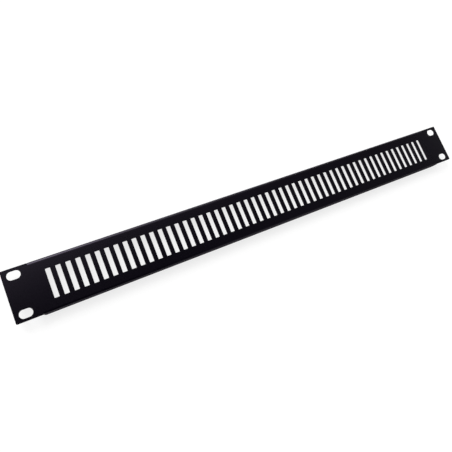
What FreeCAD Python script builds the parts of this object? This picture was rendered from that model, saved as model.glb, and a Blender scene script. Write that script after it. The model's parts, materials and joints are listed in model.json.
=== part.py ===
"""Vented blanking panel for a 19-inch rack, one rack unit high.

One sheet of steel, punched flat and folded twice. The face carries a row of narrow slots, each ear
carries two slotted screw holes, and a flange is folded back along each long edge between the ears.
The folds stand a little proud of the ears' edges, and a narrow cut frees each of their ends.

The panel lies face up on the free edges of its flanges. The origin is the middle of its footprint,
+X runs along its length, +Y up the height that it takes in the rack, and +Z out of its face.
"""
import FreeCAD, Part
import math
import os

import Sketcher

NODE = "vented_panel"

# Driving sizes: millimetres, apart from slot_count.
DRIVING = [
    ("panel_width", 482.6, "overall width of a 19-inch panel"),
    ("ear_height", 43.6, "one rack unit, less the gap to the next panel"),
    ("flange_spread", 44.3, "overall height between the ears, across both flanges"),
    ("sheet_gauge", 1.2, "thickness of the steel sheet"),
    ("flange_depth", 10.0, "front of the face to the free edge of a flange"),
    ("flange_length", 442.0, "length of each flange, clear of the rack's rails"),
    ("bend_radius", 1.0, "inside radius of both folds"),
    ("relief_width", 0.1, "width of the cut that frees a fold from the ear"),
    ("relief_overrun", 0.4, "how far that cut runs past the start of the fold"),
    ("ear_corner_radius", 1.0, "outer corners of the ears"),
    ("flange_corner_radius", 1.0, "free corners of the flanges"),
    ("hole_spacing_across", 465.1, "screw holes, left to right"),
    ("hole_spacing_up", 31.75, "screw holes, bottom to top"),
    ("hole_length", 10.6, "screw hole, end to end along the panel"),
    ("hole_height", 7.0, "screw hole, across its straight sides"),
    ("slot_count", 53, "vent slots in the row"),
    ("slot_pitch", 8.0, "middle of one vent slot to middle of the next"),
    ("slot_width", 4.0, "vent slot, along the panel"),
    ("slot_height", 25.0, "vent slot, up the panel"),
    ("slot_corner_radius", 0.4, "corners of a vent slot, left by the punch"),
]

# Sizes that follow from the driving ones.
DERIVED = [
    ("outer_bend_radius", "=bend_radius + sheet_gauge", "outside radius of both folds"),
    ("fold_start", "=flange_spread / 2 - outer_bend_radius", "panel's middle to where a fold starts"),
    ("relief_depth", "=ear_height / 2 - fold_start + relief_overrun", "cut's depth into the ear's edge"),
    ("ear_length", "=(panel_width - flange_length) / 2", "flange's end to the panel's end"),
    ("slot_row_length", "=(slot_count - 1) * slot_pitch", "middle of the first slot to the last"),
]

SAME_PLACE = 1e-4      # two coordinates nearer than this, in millimetres, are one place


# The document, its spreadsheet and its one body ------------------------------------------------

doc = FreeCAD.newDocument("blanking_panel")
sizes = doc.addObject("Spreadsheet::Sheet", "sizes")
for row, (alias, value, meaning) in enumerate(DRIVING + DERIVED, start=1):
    sizes.set(f"A{row}", meaning)
    sizes.set(f"B{row}", str(value))
    sizes.setAlias(f"B{row}", alias)
doc.recompute()

body = doc.addObject("PartDesign::Body", NODE)
body.Label = NODE


# Helpers ---------------------------------------------------------------------------------------

def origin_item(role):
    """Return the body's own plane or axis that has this role, such as XY_Plane."""
    return next(item for item in body.Origin.OriginFeatures if item.Role == role)


def new_sketch(name, plane, lift=None):
    """Attach an empty sketch to an origin plane, raised off it by a formula."""
    sketch = body.newObject("Sketcher::SketchObject", name)
    sketch.AttachmentSupport = [(origin_item(plane), "")]
    sketch.MapMode = "FlatFace"
    if lift:
        sketch.setExpression("AttachmentOffset.Base.z", lift)
    return sketch


def draw_line(sketch, start, end):
    """Draw one line, and return its number in the sketch."""
    line = Part.LineSegment(FreeCAD.Vector(*start, 0), FreeCAD.Vector(*end, 0))
    return sketch.addGeometry(line, False)


def draw_arc(sketch, centre, radius, from_degrees, to_degrees):
    """Draw one arc counterclockwise, and return its number in the sketch."""
    circle = Part.Circle(FreeCAD.Vector(*centre, 0), FreeCAD.Vector(0, 0, 1), radius)
    arc = Part.ArcOfCircle(circle, math.radians(from_degrees), math.radians(to_degrees))
    return sketch.addGeometry(arc, False)


def draw_square_outline(sketch, corners):
    """Draw a closed outline of level and upright lines, and return their numbers."""
    lines = []
    for start, end in zip(corners, corners[1:] + corners[:1]):
        line = draw_line(sketch, start, end)
        is_level = abs(end[0] - start[0]) > abs(end[1] - start[1])
        sketch.addConstraint(Sketcher.Constraint("Horizontal" if is_level else "Vertical", line))
        lines.append(line)
    for line, following in zip(lines, lines[1:] + lines[:1]):
        sketch.addConstraint(Sketcher.Constraint("Coincident", line, 2, following, 1))
    return lines


def join_smoothly(sketch, pieces):
    """Join each line or arc to the next one, tangent to it, all the way round."""
    for piece, following in zip(pieces, pieces[1:] + pieces[:1]):
        sketch.addConstraint(Sketcher.Constraint("Tangent", piece, 2, following, 1))


def dimension(sketch, name, kind, places, formula):
    """Add a named dimension, and tie it to a formula on the spreadsheet."""
    number = sketch.addConstraint(Sketcher.Constraint(kind, *places, size_of(formula)))
    sketch.renameConstraint(number, name)
    sketch.setExpression(f"Constraints.{name}", formula)


def size_of(formula):
    """Return what a formula on the spreadsheet comes to."""
    return body.evalExpression(formula)


def centre_outline(sketch, one_point, opposite_point, across, up=None):
    """Hold the middle of an outline at a distance across, and up from the X axis or on it."""
    middle_x = size_of(across)
    middle_y = size_of(up) if up else 0.0
    middle = sketch.addGeometry(Part.Point(FreeCAD.Vector(middle_x, middle_y, 0)), True)
    sketch.addConstraint(
        Sketcher.Constraint("Symmetric", *one_point, *opposite_point, middle, 1))
    dimension(sketch, "across", "DistanceX", (-1, 1, middle, 1), across)
    if up:
        dimension(sketch, "up", "DistanceY", (-1, 1, middle, 1), up)
    else:
        sketch.addConstraint(Sketcher.Constraint("PointOnObject", middle, 1, -1))


def finish_feature(feature):
    """Make a feature the body's result, and compute it."""
    body.Tip = feature
    doc.recompute()
    return feature


def pad(name, sketch, length, side="One side"):
    """Make the inside of a sketch's outline solid, over a length."""
    feature = body.newObject("PartDesign::Pad", name)
    feature.Profile = sketch
    feature.SideType = side
    feature.setExpression("Length", length)
    return finish_feature(feature)


def punch(name, sketch):
    """Cut a sketch's outline down through the sheet, from its front."""
    feature = body.newObject("PartDesign::Pocket", name)
    feature.Profile = sketch
    feature.setExpression("Length", "sizes.sheet_gauge")
    return finish_feature(feature)


def round_edges(name, radius, wanted):
    """Fillet the straight edges whose middle and direction pass a test."""
    base = body.Tip
    chosen = []
    for number, edge in enumerate(base.Shape.Edges, start=1):
        if edge.Curve.TypeId == "Part::GeomLine":
            if wanted(edge.CenterOfMass, edge.tangentAt(edge.FirstParameter)):
                chosen.append(f"Edge{number}")
    feature = body.newObject("PartDesign::Fillet", name)
    feature.Base = (base, chosen)
    feature.setExpression("Radius", radius)
    print(name, "rounds", len(chosen), "edges")
    return finish_feature(feature)


def mirror(name, feature, plane):
    """Repeat a feature on the other side of one of the body's middle planes."""
    copy = body.newObject("PartDesign::Mirrored", name)
    copy.Originals = [feature]
    copy.MirrorPlane = (origin_item(plane), [""])
    return finish_feature(copy)


def same(a, b):
    """Say whether two coordinates are one place."""
    return abs(a - b) < SAME_PLACE


# The folded channel: the face between the ears, and the two flanges ---------------------------

def build_channel():
    """Pad the channel's section along X, then round its folds and the flanges' free corners."""
    outer = sizes.flange_spread / 2
    inner = outer - sizes.sheet_gauge
    top = sizes.flange_depth
    underside = top - sizes.sheet_gauge

    section = new_sketch("channel_section", "YZ_Plane")
    lower_wall, face, _, upper_edge, _, face_back, _, lower_edge = draw_square_outline(section, [
        (-outer, 0), (-outer, top), (outer, top), (outer, 0),
        (inner, 0), (inner, underside), (-inner, underside), (-inner, 0),
    ])
    for edge in (upper_edge, lower_edge):
        section.addConstraint(Sketcher.Constraint("PointOnObject", edge, 2, -1))
        dimension(section, f"gauge_{edge}", "DistanceX", (edge, 2, edge, 1), "sizes.sheet_gauge")
    dimension(section, "face_gauge", "DistanceY", (face_back, 1, face, 2), "sizes.sheet_gauge")
    dimension(section, "spread", "DistanceX", (face, 1, face, 2), "sizes.flange_spread")
    dimension(section, "half_spread", "DistanceX", (-1, 1, face, 2), "sizes.flange_spread / 2")
    dimension(section, "depth", "DistanceY", (lower_wall, 1, lower_wall, 2), "sizes.flange_depth")
    pad("channel", section, "sizes.flange_length", "Symmetric")

    def is_outside_fold(middle, along):
        return same(abs(along.x), 1) and same(abs(middle.y), outer) and same(middle.z, top)

    def is_inside_fold(middle, along):
        return same(abs(along.x), 1) and same(abs(middle.y), inner) and same(middle.z, underside)

    def is_free_corner(middle, along):
        return same(abs(along.y), 1) and abs(middle.y) > inner and same(middle.z, 0)

    round_edges("outside_folds", "sizes.outer_bend_radius", is_outside_fold)
    round_edges("inside_folds", "sizes.bend_radius", is_inside_fold)
    round_edges("flange_corners", "sizes.flange_corner_radius", is_free_corner)


# The ears, beyond the ends of the flanges ------------------------------------------------------

def build_ears():
    """Pad one flat ear out from the channel, mirror it, and round the four outer corners."""
    half_height = sizes.ear_height / 2
    root = sizes.flange_length / 2
    tip = sizes.panel_width / 2

    outline = new_sketch("ear_outline", "XY_Plane", "sizes.flange_depth - sizes.sheet_gauge")
    lower, outer, upper, _ = draw_square_outline(outline, [
        (root, -half_height), (tip, -half_height), (tip, half_height), (root, half_height),
    ])
    dimension(outline, "length", "DistanceX", (lower, 1, lower, 2), "sizes.ear_length")
    dimension(outline, "height", "DistanceY", (outer, 1, outer, 2), "sizes.ear_height")
    centre_outline(outline, (lower, 1), (upper, 1), "(sizes.panel_width - sizes.ear_length) / 2")
    mirror("other_ear", pad("ear", outline, "sizes.sheet_gauge"), "YZ_Plane")

    def is_outer_corner(middle, along):
        return same(abs(along.z), 1) and same(abs(middle.x), tip)

    round_edges("ear_corners", "sizes.ear_corner_radius", is_outer_corner)


# The cuts: relief at each end of a fold, screw holes, and vent slots ---------------------------

def cut_reliefs_and_holes():
    """Punch one relief cut and one screw hole in a corner, and repeat both in the other three."""
    left = sizes.flange_length / 2
    right = left + sizes.relief_width
    top = sizes.ear_height / 2 + sizes.relief_depth
    bottom = sizes.ear_height / 2 - sizes.relief_depth

    relief = new_sketch("relief_outline", "XY_Plane", "sizes.flange_depth")
    lower, side, upper, _ = draw_square_outline(
        relief, [(left, bottom), (right, bottom), (right, top), (left, top)])
    dimension(relief, "width", "DistanceX", (lower, 1, lower, 2), "sizes.relief_width")
    dimension(relief, "depth", "DistanceY", (side, 1, side, 2), "2 * sizes.relief_depth")
    centre_outline(relief, (lower, 1), (upper, 1),
                   "(sizes.flange_length + sizes.relief_width) / 2", "sizes.ear_height / 2")

    across = sizes.hole_spacing_across / 2
    up = sizes.hole_spacing_up / 2
    radius = sizes.hole_height / 2
    reach = sizes.hole_length / 2 - radius
    hole = new_sketch("hole_outline", "XY_Plane", "sizes.flange_depth")
    pieces = [
        draw_line(hole, (across - reach, up - radius), (across + reach, up - radius)),
        draw_arc(hole, (across + reach, up), radius, -90, 90),
        draw_line(hole, (across + reach, up + radius), (across - reach, up + radius)),
        draw_arc(hole, (across - reach, up), radius, 90, 270),
    ]
    join_smoothly(hole, pieces)
    straight, right_end, _, left_end = pieces
    hole.addConstraint(Sketcher.Constraint("Horizontal", straight))
    hole.addConstraint(Sketcher.Constraint("Equal", right_end, left_end))
    dimension(hole, "end_radius", "Radius", (right_end,), "sizes.hole_height / 2")
    dimension(hole, "straight", "DistanceX", (straight, 1, straight, 2),
              "sizes.hole_length - sizes.hole_height")
    centre_outline(hole, (right_end, 3), (left_end, 3),
                   "sizes.hole_spacing_across / 2", "sizes.hole_spacing_up / 2")

    cuts = [punch("relief_cut", relief), punch("screw_hole", hole)]
    copies = body.newObject("PartDesign::MultiTransform", "four_corners")
    copies.Originals = cuts
    mirrors = []
    for name, plane in (("left_to_right", "YZ_Plane"), ("bottom_to_top", "XZ_Plane")):
        side_copy = body.newObject("PartDesign::Mirrored", name)
        side_copy.MirrorPlane = (origin_item(plane), [""])
        mirrors.append(side_copy)
    copies.Transformations = mirrors
    finish_feature(copies)


def cut_vent_slots():
    """Punch the vent slot at the right-hand end of the row, and step it along the panel."""
    middle = sizes.slot_row_length / 2
    side = sizes.slot_width / 2
    end = sizes.slot_height / 2
    radius = sizes.slot_corner_radius
    arc_x = side - radius
    arc_y = end - radius

    slot = new_sketch("slot_outline", "XY_Plane", "sizes.flange_depth")
    pieces = [
        draw_line(slot, (middle - arc_x, -end), (middle + arc_x, -end)),
        draw_arc(slot, (middle + arc_x, -arc_y), radius, -90, 0),
        draw_line(slot, (middle + side, -arc_y), (middle + side, arc_y)),
        draw_arc(slot, (middle + arc_x, arc_y), radius, 0, 90),
        draw_line(slot, (middle + arc_x, end), (middle - arc_x, end)),
        draw_arc(slot, (middle - arc_x, arc_y), radius, 90, 180),
        draw_line(slot, (middle - side, arc_y), (middle - side, -arc_y)),
        draw_arc(slot, (middle - arc_x, -arc_y), radius, 180, 270),
    ]
    join_smoothly(slot, pieces)
    bottom, first_arc, right, second_arc, top, third_arc, left, fourth_arc = pieces
    for level, upright in ((bottom, right), (top, left)):
        slot.addConstraint(Sketcher.Constraint("Horizontal", level))
        slot.addConstraint(Sketcher.Constraint("Vertical", upright))
    for arc in (second_arc, third_arc, fourth_arc):
        slot.addConstraint(Sketcher.Constraint("Equal", first_arc, arc))
    dimension(slot, "corner", "Radius", (first_arc,), "sizes.slot_corner_radius")
    dimension(slot, "level_side", "DistanceX", (bottom, 1, bottom, 2),
              "sizes.slot_width - 2 * sizes.slot_corner_radius")
    dimension(slot, "upright_side", "DistanceY", (right, 1, right, 2),
              "sizes.slot_height - 2 * sizes.slot_corner_radius")
    centre_outline(slot, (first_arc, 3), (third_arc, 3), "sizes.slot_row_length / 2")

    vent_slot = punch("vent_slot", slot)
    row = body.newObject("PartDesign::LinearPattern", "slot_row")
    row.Originals = [vent_slot]
    row.Direction = (origin_item("X_Axis"), [""])
    row.Reversed = True
    row.setExpression("Length", "sizes.slot_row_length")
    row.setExpression("Occurrences", "sizes.slot_count")
    finish_feature(row)


# Building, checking and writing ----------------------------------------------------------------

def flat_sheet_volume():
    """Work out the volume that the finished panel should have, from the sizes alone."""
    gauge = sizes.sheet_gauge
    fold = math.pi / 4 * (sizes.outer_bend_radius ** 2 - sizes.bend_radius ** 2)
    wall = gauge * (sizes.flange_depth - sizes.outer_bend_radius)
    face = gauge * 2 * sizes.fold_start
    corner_loss = 1 - math.pi / 4
    flange_corners = 4 * gauge * corner_loss * sizes.flange_corner_radius ** 2
    channel = sizes.flange_length * (face + 2 * (wall + fold)) - flange_corners

    hole = (sizes.hole_length - sizes.hole_height) * sizes.hole_height
    hole += math.pi / 4 * sizes.hole_height ** 2
    relief = sizes.relief_width * sizes.relief_depth
    ears = 2 * sizes.ear_length * sizes.ear_height
    ears -= 4 * (hole + relief + corner_loss * sizes.ear_corner_radius ** 2)

    slot = sizes.slot_width * sizes.slot_height - 4 * corner_loss * sizes.slot_corner_radius ** 2
    return channel + gauge * (ears - sizes.slot_count * slot)


def check_model():
    """Stop if an object failed, or if the panel isn't one sound solid of the right volume."""
    for item in doc.Objects:
        if "Invalid" in item.State or "Error" in item.State:
            raise RuntimeError(f"{item.Name} failed: {item.State}")
    for sketch in doc.findObjects("Sketcher::SketchObject"):
        if sketch.solve() != 0 or not sketch.FullyConstrained:
            raise RuntimeError(f"{sketch.Name} isn't fully constrained")
    shape = body.Shape
    if shape.isNull() or not shape.isValid() or len(shape.Solids) != 1:
        raise RuntimeError("the panel isn't one valid solid")
    expected = flat_sheet_volume()
    print(f"volume {shape.Volume:.2f} mm3, expected {expected:.2f} mm3")
    if abs(shape.Volume - expected) > 0.001 * expected:
        raise RuntimeError("a cut or a fold is missing")


build_channel()
build_ears()
cut_reliefs_and_holes()
cut_vent_slots()
doc.recompute()
check_model()

os.makedirs("parts", exist_ok=True)
body.Shape.exportStep(f"parts/{NODE}.step")
box = body.Shape.BoundBox
print(f"{NODE}: {box.XLength:.2f} x {box.YLength:.2f} x {box.ZLength:.2f} mm,",
      f"lowest point {box.ZMin:.3f}, {len(body.Shape.Faces)} faces")
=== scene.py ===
# %% [markdown]
# # A vented blanking panel for a server rack
# The real object is one sheet of steel: punched flat, folded twice along its length, and powder
# coated black. This lesson makes it in that order. The flat sheet comes first, with its slots and
# screw holes, then the two folds, then the thickness, and last the soft edges that paint leaves.
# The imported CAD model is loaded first, because its box and its mounts say where everything goes.

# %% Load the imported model
import json
import math

import bmesh
import bpy
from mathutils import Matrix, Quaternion, Vector


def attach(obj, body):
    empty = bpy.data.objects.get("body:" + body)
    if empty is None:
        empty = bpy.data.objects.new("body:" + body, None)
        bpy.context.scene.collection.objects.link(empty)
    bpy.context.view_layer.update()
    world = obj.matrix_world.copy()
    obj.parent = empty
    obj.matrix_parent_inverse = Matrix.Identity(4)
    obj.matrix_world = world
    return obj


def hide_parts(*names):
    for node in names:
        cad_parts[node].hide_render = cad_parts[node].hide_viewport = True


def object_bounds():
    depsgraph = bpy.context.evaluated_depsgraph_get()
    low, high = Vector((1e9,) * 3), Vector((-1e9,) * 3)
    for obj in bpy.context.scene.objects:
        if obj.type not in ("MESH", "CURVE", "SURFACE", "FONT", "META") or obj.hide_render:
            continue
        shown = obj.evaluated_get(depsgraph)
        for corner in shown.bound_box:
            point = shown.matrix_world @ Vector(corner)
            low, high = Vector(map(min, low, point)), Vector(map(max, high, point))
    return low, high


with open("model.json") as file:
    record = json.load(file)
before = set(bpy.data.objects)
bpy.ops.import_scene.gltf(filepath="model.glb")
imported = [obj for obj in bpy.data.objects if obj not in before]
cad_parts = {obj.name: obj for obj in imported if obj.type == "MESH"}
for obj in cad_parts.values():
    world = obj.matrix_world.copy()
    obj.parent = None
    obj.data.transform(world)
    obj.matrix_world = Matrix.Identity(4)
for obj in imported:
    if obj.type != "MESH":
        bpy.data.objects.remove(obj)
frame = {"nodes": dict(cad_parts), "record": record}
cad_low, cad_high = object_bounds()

print("CAD box, mm:", [round(1000 * side, 2) for side in cad_high - cad_low])

# %% [markdown]
# ## Sizes
# Blender works in metres, so a size in millimetres is written as a number times MM. The outline,
# the sheet's gauge and the screw holes are read from the frame. The flanges are shorter than the
# panel and stand a little proud of its ears. Both sizes are read from the CAD mesh: a flange is
# all that lies below the ears, and an ear is all that lies beyond its screw holes' middles.

# %% Read the sizes that the frame gives
MM = 0.001
CAD_NODE = "vented_panel"

mounts = {mount["name"]: mount for mount in frame["record"]["mounts"]}
hole_dims = mounts["rack_holes"]["dims"]
hole_x = hole_dims["spacing_x_mm"] * MM / 2
hole_y = hole_dims["spacing_y_mm"] * MM / 2
hole_radius = hole_dims["hole_r_mm"] * MM
hole_length = hole_dims["slot_length_mm"] * MM

face_z = cad_high.z
flange_y = cad_high.y
tip_x = cad_high.x
gauge = face_z - mounts["right_ear_back"]["pos_m"][2]
places = [vertex.co for vertex in frame["nodes"][CAD_NODE].data.vertices]
flange_x = max(place.x for place in places if place.z < face_z - 2 * gauge)
ear_y = max(place.y for place in places if place.x > hole_x)
print("gauge", round(gauge / MM, 2), "mm, flanges end at", round(flange_x / MM, 2), "mm")
print("ears reach", round(ear_y / MM, 2), "mm up, flanges", round(flange_y / MM, 2), "mm")

# %% [markdown]
# The slots and folds have sizes of their own, which follow the punch and the press. The relief is
# the narrow cut at each end of a fold. Without it, the sheet would tear where the fold meets the
# flat ear. A border is the flat sheet kept round an opening while it is made, and the strip is a
# narrow band of sheet that the ears are joined to. The steps say how many straight pieces make up
# each round corner or fold.

# %% Set the sizes of the slots, folds and cuts
slot_count = 53
slot_pitch = 8 * MM
slot_width = 4 * MM
slot_height = 25 * MM
slot_corner = 0.4 * MM

bend_radius = 1 * MM
outer_fold = bend_radius + gauge
fold_steps = 8
fold_y = flange_y - outer_fold

relief_width = 0.1 * MM
relief_depth = 0.4 * MM
neck_y = fold_y - relief_depth

hole_border = 1.6 * MM
hole_steps = 8
slot_steps = 4
corner_radius = 1 * MM
corner_steps = 5
strip_width = 1.5 * MM
coat_rounding = 0.045 * MM
print("slot row", (slot_count - 1) * slot_pitch / MM, "mm from first middle to last")

# %% [markdown]
# ## Working in edit mode from code
# By hand, each step is: select some edges, then use an operator on them. In code the selecting is
# done by place, so each helper below takes a test on a vertex's coordinates. Everything is
# deselected first, because an operator acts on all that is selected, and the loaded CAD model
# still is.

# %% Helpers for selecting and shaping
SNAP = 0.01 * MM
PARTS = ("VERT", "EDGE", "FACE")


def near(value, target):
    """Say whether two places along an axis are the same, to a hundredth of a millimetre."""
    return abs(value - target) < SNAP


def begin_edit(piece):
    """Make a piece the only selected one, and open it in edit mode."""
    bpy.ops.object.select_all(action="DESELECT")
    piece.select_set(True)
    bpy.context.view_layer.objects.active = piece
    bpy.ops.object.mode_set(mode="EDIT")


def end_edit():
    """Go back to object mode, which writes the edit to the mesh."""
    bpy.ops.object.mode_set(mode="OBJECT")


def pick(piece, part, wanted, on_rim=False):
    """Select the vertices, edges or faces whose every corner passes a test, and count them."""
    bpy.context.tool_settings.mesh_select_mode = [part == kind for kind in PARTS]
    bpy.ops.mesh.select_all(action="DESELECT")
    mesh = bmesh.from_edit_mesh(piece.data)
    items = {"VERT": mesh.verts, "EDGE": mesh.edges, "FACE": mesh.faces}[part]
    found = 0
    for item in items:
        corners = [item] if part == "VERT" else item.verts
        if all(wanted(corner.co) for corner in corners) and (not on_rim or item.is_boundary):
            item.select_set(True)
            found += 1
    bmesh.update_edit_mesh(piece.data)
    return found


def pull(x=0.0, y=0.0, z=0.0):
    """Extrude what is selected by a distance along the axes."""
    bpy.ops.mesh.extrude_region_move(TRANSFORM_OT_translate={"value": (x, y, z)})


def apply_modifier(piece, kind, **settings):
    """Add a modifier with its settings, and apply it."""
    bpy.ops.object.select_all(action="DESELECT")
    piece.select_set(True)
    bpy.context.view_layer.objects.active = piece
    modifier = piece.modifiers.new(kind.lower(), kind)
    for name, value in settings.items():
        setattr(modifier, name, value)
    bpy.ops.object.modifier_apply(modifier=modifier.name)


# %% [markdown]
# ## One opening, cut in a small plate
# Both the vent slots and the screw holes are openings with round corners in flat sheet. A plate is
# added at its place, an inset draws the opening's outline in it, and a vertex bevel rounds the
# outline's four corners. Only then is the middle deleted. A vertex bevel on an open rim would
# round the wrong way, so the middle has to be there while it works.

# %% Make a plate with a rounded opening
def plate_with_opening(name, centre_x, centre_y, width, height, border, corner, steps):
    """Add a flat plate with an opening of that width and height, and a border all round it."""
    bpy.ops.object.select_all(action="DESELECT")
    bpy.ops.mesh.primitive_plane_add(size=1, location=(centre_x, centre_y, face_z))
    plate = bpy.context.object
    plate.name = name
    plate.scale = (width + 2 * border, height + 2 * border, 1)
    bpy.ops.object.transform_apply(location=True, rotation=True, scale=True)

    def on_opening(co):
        across = abs(co.x - centre_x) < width / 2 + SNAP
        return across and abs(co.y - centre_y) < height / 2 + SNAP

    begin_edit(plate)
    bpy.ops.mesh.select_all(action="SELECT")
    bpy.ops.mesh.inset(thickness=border)
    pick(plate, "VERT", on_opening)
    bpy.ops.mesh.bevel(offset=corner, segments=steps, affect="VERTICES", clamp_overlap=False)
    bpy.context.tool_settings.mesh_select_mode = (False, False, True)
    bpy.ops.mesh.select_all(action="DESELECT")
    mesh = bmesh.from_edit_mesh(plate.data)
    middle = max(mesh.faces, key=lambda face: face.calc_area())
    middle.select_set(True)
    bpy.ops.mesh.delete(type="FACE")
    bpy.ops.mesh.select_all(action="SELECT")
    bpy.ops.mesh.remove_doubles(threshold=SNAP)
    end_edit()
    return plate


slot_border = (slot_pitch - slot_width) / 2
first_slot_x = -(slot_count - 1) / 2 * slot_pitch
panel = plate_with_opening(
    "panel_sheet", first_slot_x, 0, slot_width, slot_height, slot_border, slot_corner,
    slot_steps)
print("one slot's plate has", len(panel.data.polygons), "faces")

# %% [markdown]
# ## The row of slots
# The plate is as wide as the slots' pitch, so an Array of it makes the whole row with no gaps.
# Before that, its upper and lower edges are pulled out, first to the depth of the relief cuts and
# then to the line where each fold starts. The Array merges each copy's side with the next one's.

# %% Widen the plate up to the fold lines, and repeat it
plate_y = slot_height / 2 + slot_border

begin_edit(panel)
for side in (-1, 1):
    for start_y, end_y in ((plate_y, neck_y), (neck_y, fold_y)):
        pick(panel, "EDGE", lambda co: near(co.y, side * start_y))
        pull(y=side * (end_y - start_y))
end_edit()

apply_modifier(
    panel, "ARRAY", count=slot_count, use_relative_offset=False, use_constant_offset=True,
    constant_offset_displace=(slot_pitch, 0, 0), use_merge_vertices=True, merge_threshold=SNAP)
print("the row is", round(panel.dimensions.x / MM, 2), "mm long")

# %% [markdown]
# ## Out to the ears
# The flat sheet goes on past the last slot to the end of the flanges. There it narrows to a neck
# between the two relief cuts, and then widens to the full height again as the ear begins.

# %% Pull the sheet's ends out into necks and ear roots
row_end_x = (slot_count * slot_pitch) / 2
ear_root_x = flange_x + relief_width
strip_x = ear_root_x + strip_width

begin_edit(panel)
for side in (-1, 1):
    pick(panel, "EDGE", lambda co: near(co.x, side * row_end_x), on_rim=True)
    pull(x=side * (flange_x - row_end_x))
    for start_x, end_x in ((flange_x, ear_root_x), (ear_root_x, strip_x)):
        pick(panel, "EDGE", lambda co: near(co.x, side * start_x) and abs(co.y) < neck_y + SNAP)
        pull(x=side * (end_x - start_x))
    for up in (-1, 1):
        pick(panel, "EDGE", lambda co: near(co.y, up * neck_y) and side * co.x > ear_root_x - SNAP,
             on_rim=True)
        pull(y=up * (ear_y - neck_y))
end_edit()
print("ends reach", round(panel.dimensions.x / 2 / MM, 2), "mm")

# %% [markdown]
# ## The screw holes
# One quarter of the ears is modelled, round the upper hole on the right, and a Mirror makes the
# other three. The seam that the mirror leaves across each ear is dissolved, so that the ear's edge
# has as many vertices as the strip that it joins, and a bridge then closes the gap with clean
# four-sided faces.

# %% Model one quarter of the ears and mirror it
ears = plate_with_opening(
    "ears", hole_x, hole_y, hole_length, 2 * hole_radius, hole_border, hole_radius,
    hole_steps)
plate_left_x = hole_x - hole_length / 2 - hole_border
plate_right_x = hole_x + hole_length / 2 + hole_border
plate_low_y = hole_y - hole_radius - hole_border
plate_high_y = hole_y + hole_radius + hole_border

begin_edit(ears)
pick(ears, "EDGE", lambda co: near(co.x, plate_right_x))
pull(x=tip_x - plate_right_x)
pick(ears, "EDGE", lambda co: near(co.y, plate_high_y))
pull(y=ear_y - plate_high_y)
pick(ears, "EDGE", lambda co: near(co.y, plate_low_y))
pull(y=-plate_low_y)
end_edit()
apply_modifier(ears, "MIRROR", use_axis=(True, True, False), merge_threshold=SNAP)

begin_edit(ears)
pick(ears, "EDGE", lambda co: near(co.y, 0))
bpy.ops.mesh.dissolve_edges(use_verts=True)
end_edit()
print("ears:", len(ears.data.polygons), "faces")

# %% Join the ears to the sheet
bpy.ops.object.select_all(action="DESELECT")
ears.select_set(True)
panel.select_set(True)
bpy.context.view_layer.objects.active = panel
bpy.ops.object.join()

begin_edit(panel)
for side in (-1, 1):
    found = pick(panel, "EDGE", lambda co: near(co.x, side * strip_x)
                 or near(co.x, side * plate_left_x), on_rim=True)
    bpy.ops.mesh.bridge_edge_loops()
    print("bridged", found, "edges")

# %% [markdown]
# The ears' outer corners are rounded while the sheet is still flat: a vertex bevel on a corner that
# has only its two rim edges is a plain round corner.

# %% Round the ears' corners
pick(panel, "VERT", lambda co: near(abs(co.x), tip_x) and near(abs(co.y), ear_y))
bpy.ops.mesh.bevel(
    offset=corner_radius, segments=corner_steps, affect="VERTICES", clamp_overlap=False)

# %% [markdown]
# ## The folds
# A press brake turns the edge of the sheet through a quarter circle. The Spin operator does the
# same: it sweeps the selected rim about an axis, here the middle of the fold, in equal steps. The
# flange is then pulled straight down from it, and its free corners are rounded like the ears'.

# %% Spin each fold and pull its flange down
for side in (-1, 1):
    pick(panel, "EDGE", lambda co: near(co.y, side * fold_y) and abs(co.x) < flange_x + SNAP,
         on_rim=True)
    bpy.ops.mesh.spin(
        steps=fold_steps, angle=side * math.pi / 2,
        center=(0, side * fold_y, face_z - outer_fold), axis=(1, 0, 0))
    pick(panel, "EDGE", lambda co: near(co.y, side * flange_y) and near(co.z, face_z - outer_fold),
         on_rim=True)
    pull(z=outer_fold - face_z)
pick(panel, "VERT", lambda co: near(abs(co.x), flange_x) and near(co.z, 0))
bpy.ops.mesh.bevel(
    offset=corner_radius, segments=corner_steps, affect="VERTICES", clamp_overlap=False)
bpy.ops.mesh.select_all(action="SELECT")
bpy.ops.mesh.remove_doubles(threshold=SNAP)
bpy.ops.mesh.normals_make_consistent(inside=False)
end_edit()

if max(panel.data.polygons, key=lambda face: face.area).normal.z < 0:
    panel.data.flip_normals()
print("folded, mm:", [round(side / MM, 2) for side in panel.dimensions])

# %% [markdown]
# ## Thickness and coated edges
# So far the mesh is the sheet's front surface. Solidify gives it the steel's gauge behind that
# surface, and its even offset keeps the fold's inner radius true. Punched steel has sharp edges,
# but powder coat flows over them and leaves a small radius, so a Bevel limited by angle rounds
# every rim and leaves the folds alone. Hardened normals keep the flat faces flat in the shading.

# %% Give the sheet its gauge, and round its edges
apply_modifier(
    panel, "SOLIDIFY", thickness=gauge, offset=-1, use_even_offset=True, use_quality_normals=True)
bpy.ops.object.shade_smooth()
apply_modifier(
    panel, "BEVEL", width=coat_rounding, segments=3, limit_method="ANGLE",
    angle_limit=math.radians(40), harden_normals=True, use_clamp_overlap=False)


def volume_of(mesh):
    """Add up the signed volume under each triangle of a closed mesh, in cubic metres."""
    mesh.calc_loop_triangles()
    places = [vertex.co for vertex in mesh.vertices]
    total = 0.0
    for triangle in mesh.loop_triangles:
        a, b, c = (places[index] for index in triangle.vertices)
        total += a.dot(b.cross(c)) / 6
    return total


cad_volume = volume_of(frame["nodes"][CAD_NODE].data)
panel_volume = volume_of(panel.data)
print("triangles:", len(panel.data.loop_triangles))
print("volume against CAD:", round(panel_volume / cad_volume, 4))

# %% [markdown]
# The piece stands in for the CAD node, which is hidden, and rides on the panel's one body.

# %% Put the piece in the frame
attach(panel, "root")
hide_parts(CAD_NODE)

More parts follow.
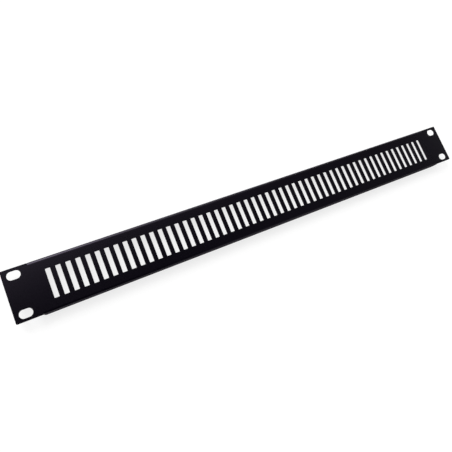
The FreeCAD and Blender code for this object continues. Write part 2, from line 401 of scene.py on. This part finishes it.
# %% [markdown]
# ## The finish
# Powder coat is sprayed on as a dry powder and baked, so it has no brush marks and no grain with
# a direction. Close to, it has two textures: a soft waviness called orange peel, about a
# millimetre and a half across, and a much finer pebble where the grains of powder melted. Both
# are low, so each goes into a Bump node. The black isn't quite neutral: it leans to blue violet, in
# its own colour and, through Specular Tint, in what it mirrors straight on.
#
# Along a glancing line of sight, the pebble's tiny hills hide the smoother ground between them, and
# the coat turns matt. The Facing output of a Layer Weight node grows towards such angles, so it is
# added to the roughness. That keeps the folds and rims as dark as they are on the real panel.

# %% Build the powder coat
COAT_DEEP = (0.0010, 0.0007, 0.0020, 1)
COAT_LIGHT = (0.0016, 0.0012, 0.0030, 1)
COAT_SHEEN = (0.86, 0.75, 1, 1)
COAT_GLOSS = 0.3
DRIFT_SIZE = 30 * MM
PEEL_SIZE = 1.6 * MM
PEEL_HEIGHT = 0.02 * MM
PEBBLE_SIZE = 0.3 * MM
PEBBLE_HEIGHT = 0.01 * MM
BUMP_STRENGTH = 0.25


def add_node(tree, kind, place, **settings):
    """Add a node at a place on the node sheet, with its settings."""
    node = tree.nodes.new(kind)
    node.location = place
    for name, value in settings.items():
        setattr(node, name, value)
    return node


def noise_of_size(tree, coordinates, size, place, detail=2.0):
    """Add a noise whose lumps are about that many metres across, and return its value."""
    noise = add_node(tree, "ShaderNodeTexNoise", place)
    noise.inputs["Scale"].default_value = 1 / size
    noise.inputs["Detail"].default_value = detail
    tree.links.new(coordinates, noise.inputs["Vector"])
    return noise.outputs["Fac"]


def powder_coat():
    """Make satin black powder coat on steel."""
    coat = bpy.data.materials.new("black_powder_coat")
    coat.use_nodes = True
    tree = coat.node_tree
    shader = tree.nodes["Principled BSDF"]
    where = add_node(tree, "ShaderNodeTexCoord", (-1200, 0)).outputs["Object"]

    drift = noise_of_size(tree, where, DRIFT_SIZE, (-900, 300))
    peel = noise_of_size(tree, where, PEEL_SIZE, (-900, 0), detail=1.0)
    pebble = noise_of_size(tree, where, PEBBLE_SIZE, (-900, -300))

    colour = add_node(tree, "ShaderNodeMix", (-400, 300), data_type="RGBA")
    colour.inputs["A"].default_value = COAT_DEEP
    colour.inputs["B"].default_value = COAT_LIGHT
    tree.links.new(drift, colour.inputs["Factor"])
    tree.links.new(colour.outputs["Result"], shader.inputs["Base Color"])

    satin = add_node(tree, "ShaderNodeMapRange", (-600, 100))
    satin.inputs["To Min"].default_value = 0.18
    satin.inputs["To Max"].default_value = 0.26
    tree.links.new(pebble, satin.inputs["Value"])
    glancing = add_node(tree, "ShaderNodeLayerWeight", (-800, 150))
    matt = add_node(tree, "ShaderNodeMapRange", (-600, -50), interpolation_type="SMOOTHSTEP")
    matt.inputs["From Min"].default_value = 0.3
    matt.inputs["From Max"].default_value = 0.6
    matt.inputs["To Max"].default_value = 0.75
    tree.links.new(glancing.outputs["Facing"], matt.inputs["Value"])
    roughness = add_node(tree, "ShaderNodeMath", (-400, 50), operation="ADD")
    tree.links.new(satin.outputs["Result"], roughness.inputs[0])
    tree.links.new(matt.outputs["Result"], roughness.inputs[1])
    tree.links.new(roughness.outputs["Value"], shader.inputs["Roughness"])

    peel_bump = add_node(tree, "ShaderNodeBump", (-400, -300))
    peel_bump.inputs["Strength"].default_value = BUMP_STRENGTH
    peel_bump.inputs["Distance"].default_value = PEEL_HEIGHT
    tree.links.new(peel, peel_bump.inputs["Height"])
    pebble_bump = add_node(tree, "ShaderNodeBump", (-200, -300))
    pebble_bump.inputs["Strength"].default_value = BUMP_STRENGTH
    pebble_bump.inputs["Distance"].default_value = PEBBLE_HEIGHT
    tree.links.new(pebble, pebble_bump.inputs["Height"])
    tree.links.new(peel_bump.outputs["Normal"], pebble_bump.inputs["Normal"])
    tree.links.new(pebble_bump.outputs["Normal"], shader.inputs["Normal"])

    shader.inputs["Specular IOR Level"].default_value = COAT_GLOSS
    shader.inputs["Specular Tint"].default_value = COAT_SHEEN
    return coat


panel.data.materials.clear()
panel.data.materials.append(powder_coat())
print("the coat has", len(panel.data.materials[0].node_tree.nodes), "nodes")

# %% [markdown]
# ## The floor
# The panel lies on a plain white floor. To the camera the floor is mostly its own light, so it
# reads as clean white paper, and only the rest of it takes lamp light and shadow. Reflections see
# the same white. Every other ray sees an ordinary pale surface, so that the light it throws up on
# the panel is what a real floor would.

# %% Lay the floor
FLOOR_GLOW = 0.79
FLOOR_SHADE = 0.26


def white_floor():
    """Make a floor that the camera and reflections see as white, with a pale grey shadow."""
    paint = bpy.data.materials.new("white_floor")
    paint.use_nodes = True
    tree = paint.node_tree
    tree.nodes.remove(tree.nodes["Principled BSDF"])

    pale = add_node(tree, "ShaderNodeBsdfDiffuse", (-400, -200))
    pale.inputs["Color"].default_value = (0.8, 0.8, 0.8, 1)
    shade = add_node(tree, "ShaderNodeBsdfDiffuse", (-600, 100))
    shade.inputs["Color"].default_value = (FLOOR_SHADE, FLOOR_SHADE, FLOOR_SHADE, 1)
    glow = add_node(tree, "ShaderNodeEmission", (-600, 0))
    glow.inputs["Strength"].default_value = FLOOR_GLOW
    seen = add_node(tree, "ShaderNodeAddShader", (-400, 100))
    tree.links.new(shade.outputs["BSDF"], seen.inputs[0])
    tree.links.new(glow.outputs["Emission"], seen.inputs[1])

    path = add_node(tree, "ShaderNodeLightPath", (-900, 400))
    camera_or_glossy = add_node(tree, "ShaderNodeMath", (-700, 400), operation="MAXIMUM")
    tree.links.new(path.outputs["Is Camera Ray"], camera_or_glossy.inputs[0])
    tree.links.new(path.outputs["Is Glossy Ray"], camera_or_glossy.inputs[1])
    any_sight = add_node(tree, "ShaderNodeMath", (-500, 400), operation="MAXIMUM")
    tree.links.new(camera_or_glossy.outputs["Value"], any_sight.inputs[0])
    tree.links.new(path.outputs["Is Transmission Ray"], any_sight.inputs[1])

    mix = add_node(tree, "ShaderNodeMixShader", (-200, 200))
    tree.links.new(any_sight.outputs["Value"], mix.inputs["Fac"])
    tree.links.new(pale.outputs["BSDF"], mix.inputs[1])
    tree.links.new(seen.outputs["Shader"], mix.inputs[2])
    tree.links.new(mix.outputs["Shader"], tree.nodes["Material Output"].inputs["Surface"])
    return paint


bpy.ops.mesh.primitive_plane_add(size=6, location=(0, 0, 0))
floor = bpy.context.object
floor.name = "floor"
floor.data.materials.append(white_floor())

# %% [markdown]
# ## The light
# A black satin surface shows its lamps more than its colour, so where the lamps stand matters. One
# big soft lamp stands far off beyond the panel's upper left, about 40 degrees up. The rounded fold
# mirrors it to the camera, which draws the pale line along the upper left edge, and its shadow on
# the floor is soft and a little wider than the panel is deep. Because it is far off, the floor is
# lit evenly. A weak lamp at the lower right keeps the lower flange from going quite black.

# %% Set the lamps
def soft_lamp(name, place, aim, size, power):
    """Add a square area lamp at a place, turned to face a point."""
    lamp = bpy.data.lights.new(name, "AREA")
    lamp.size = size
    lamp.energy = power
    holder = bpy.data.objects.new(name, lamp)
    bpy.context.scene.collection.objects.link(holder)
    holder.location = place
    holder.rotation_euler = (Vector(aim) - Vector(place)).to_track_quat("-Z", "Y").to_euler()
    return holder


soft_lamp("key_lamp", (-0.7, 1.76, 1.64), (-0.1, 0, 0), 1.2, 28)
soft_lamp("fill_lamp", (0.5, -0.9, 0.9), (0, 0, 0), 0.8, 1)

# %% [markdown]
# The rest of the studio is the world. It is nearly black overhead, where the camera stands, and has
# three soft glows, like big white sheets out of sight: beyond the upper edge, beyond the right end,
# and a brighter one at the upper left. The face mirrors their fringes, which shades it softly from
# corner to corner. Each row below holds a direction, the closeness to it at which the glow starts
# and at which it is full, and its strength. The closeness is a dot product: 1 is straight at it,
# and 0 is square to it. The last row is a low white wall round the horizon, which meets the white
# floor. Its direction is straight up, and it grows as the closeness to that falls.

# %% Set the world
SKY_DARK = 0.02
GLOWS = (
    ((0.05, 0.8, 0.6), 0.67, 0.90, 0.9),
    ((0.9, 0, 0.3), 0.44, 0.80, 0.14),
    ((-0.37, 0.75, 0.55), 0.70, 0.87, 1.8),
    ((0, 0, 1), 0.38, 0.27, 1.0),
)

world = bpy.data.worlds.new("studio")
bpy.context.scene.world = world
world.use_nodes = True
sky = world.node_tree
direction = add_node(sky, "ShaderNodeTexCoord", (-900, 0)).outputs["Generated"]
level = add_node(sky, "ShaderNodeValue", (-500, 200)).outputs["Value"]
level.default_value = SKY_DARK

for row, (middle, start, full, strength) in enumerate(GLOWS):
    closeness = add_node(
        sky, "ShaderNodeVectorMath", (-700, -200 * row), operation="DOT_PRODUCT")
    closeness.inputs[1].default_value = Vector(middle).normalized()
    sky.links.new(direction, closeness.inputs[0])
    fade = add_node(
        sky, "ShaderNodeMapRange", (-500, -200 * row), interpolation_type="SMOOTHSTEP")
    fade.inputs["From Min"].default_value = start
    fade.inputs["From Max"].default_value = full
    fade.inputs["To Max"].default_value = strength
    sky.links.new(closeness.outputs["Value"], fade.inputs["Value"])
    total = add_node(sky, "ShaderNodeMath", (-300, -200 * row), operation="ADD")
    sky.links.new(level, total.inputs[0])
    sky.links.new(fade.outputs["Result"], total.inputs[1])
    level = total.outputs["Value"]

sky.links.new(level, sky.nodes["Background"].inputs["Strength"])
sky.nodes["Background"].inputs["Color"].default_value = (1, 1, 1, 1)
print("the world has", len(GLOWS), "glows")

# %% [markdown]
# ## The camera
# The camera stands close above the left part of the panel, a little beyond its lower edge, and
# looks down and to the right through a wide lens, so the left end shows larger than the right. It
# is turned so that the panel runs up the frame from lower left to upper right. A look-at direction
# leaves the camera free to turn about its own axis, so that turn is given as well.

# %% Place the camera
CAMERA_PLACE = Vector((-165.63, -45.0, 335.9)) * MM
CAMERA_AIM = Vector((-52.64, -5.32, 10.0)) * MM
CAMERA_TURN = math.radians(49.435)
FIELD_OF_VIEW = math.radians(62.955)

camera_data = bpy.data.cameras.new("camera")
camera_data.angle = FIELD_OF_VIEW
camera_data.clip_start = 0.01
camera = bpy.data.objects.new("camera", camera_data)
bpy.context.scene.collection.objects.link(camera)
look = (CAMERA_AIM - CAMERA_PLACE).normalized()
upright = look.to_track_quat("-Z", "Y")
camera.location = CAMERA_PLACE
camera.rotation_euler = (Quaternion(look, -CAMERA_TURN) @ upright).to_euler()
bpy.context.scene.camera = camera
bpy.context.scene.view_settings.view_transform = "Standard"
print("camera is", round((CAMERA_AIM - CAMERA_PLACE).length / MM), "mm from its aim")
